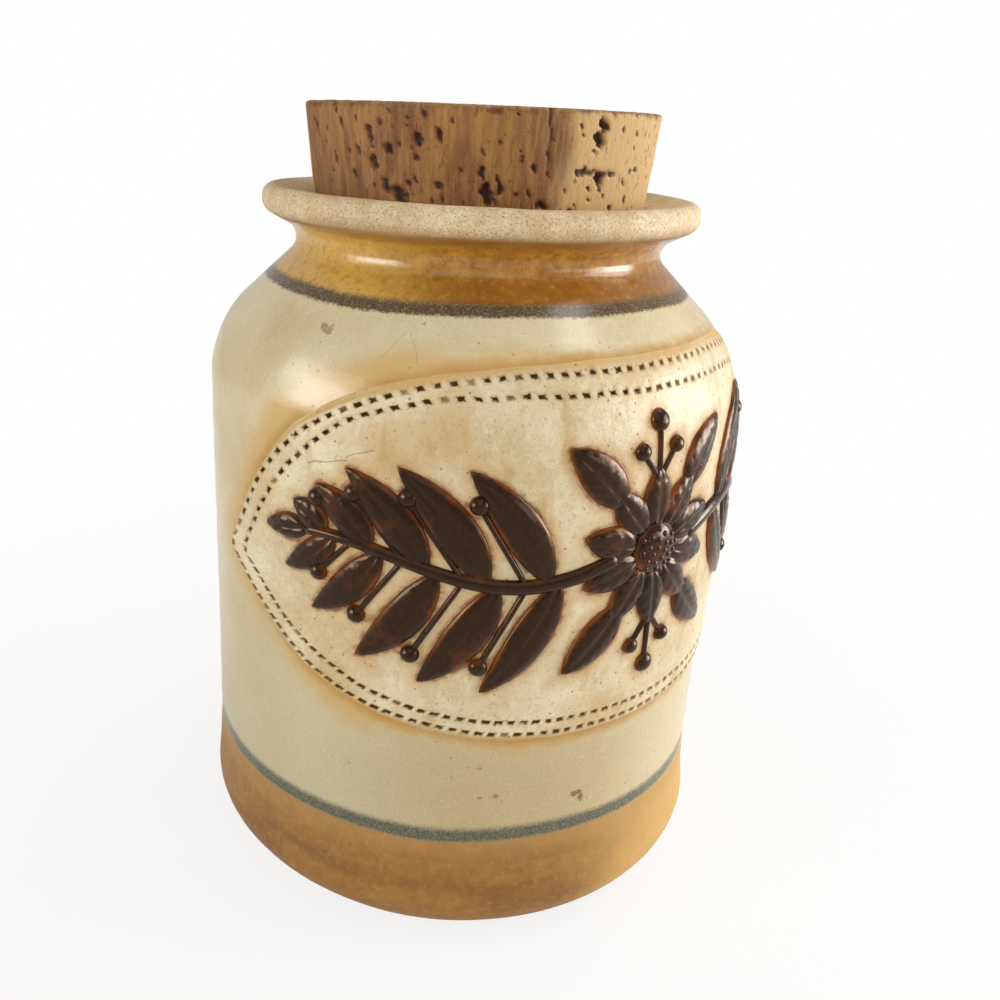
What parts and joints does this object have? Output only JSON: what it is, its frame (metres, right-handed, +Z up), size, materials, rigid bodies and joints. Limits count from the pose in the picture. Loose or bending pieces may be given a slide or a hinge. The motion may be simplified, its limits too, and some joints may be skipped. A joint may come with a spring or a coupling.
{
  "type": "ceramic storage jar",
  "caption": "Thrown stoneware storage jar with a rounded shoulder, a flanged lip, an oval applied medallion and a tapered cork stopper.",
  "frame": {"origin": "centre of the flat foot, on the surface that the jar stands on", "axes": "+Z up along the jar's axis; the middle of the applied medallion faces -Y"},
  "size_m": [0.1116, 0.1105, 0.155],
  "materials": {
    "glazed_stoneware": "cream satin glaze with honey brown at neck and foot",
    "cork": "natural cork, cut and lightly sanded"
  },
  "bodies": {
    "root": {"jar": "glazed_stoneware", "stopper": "cork"}
  },
  "joints": []
}
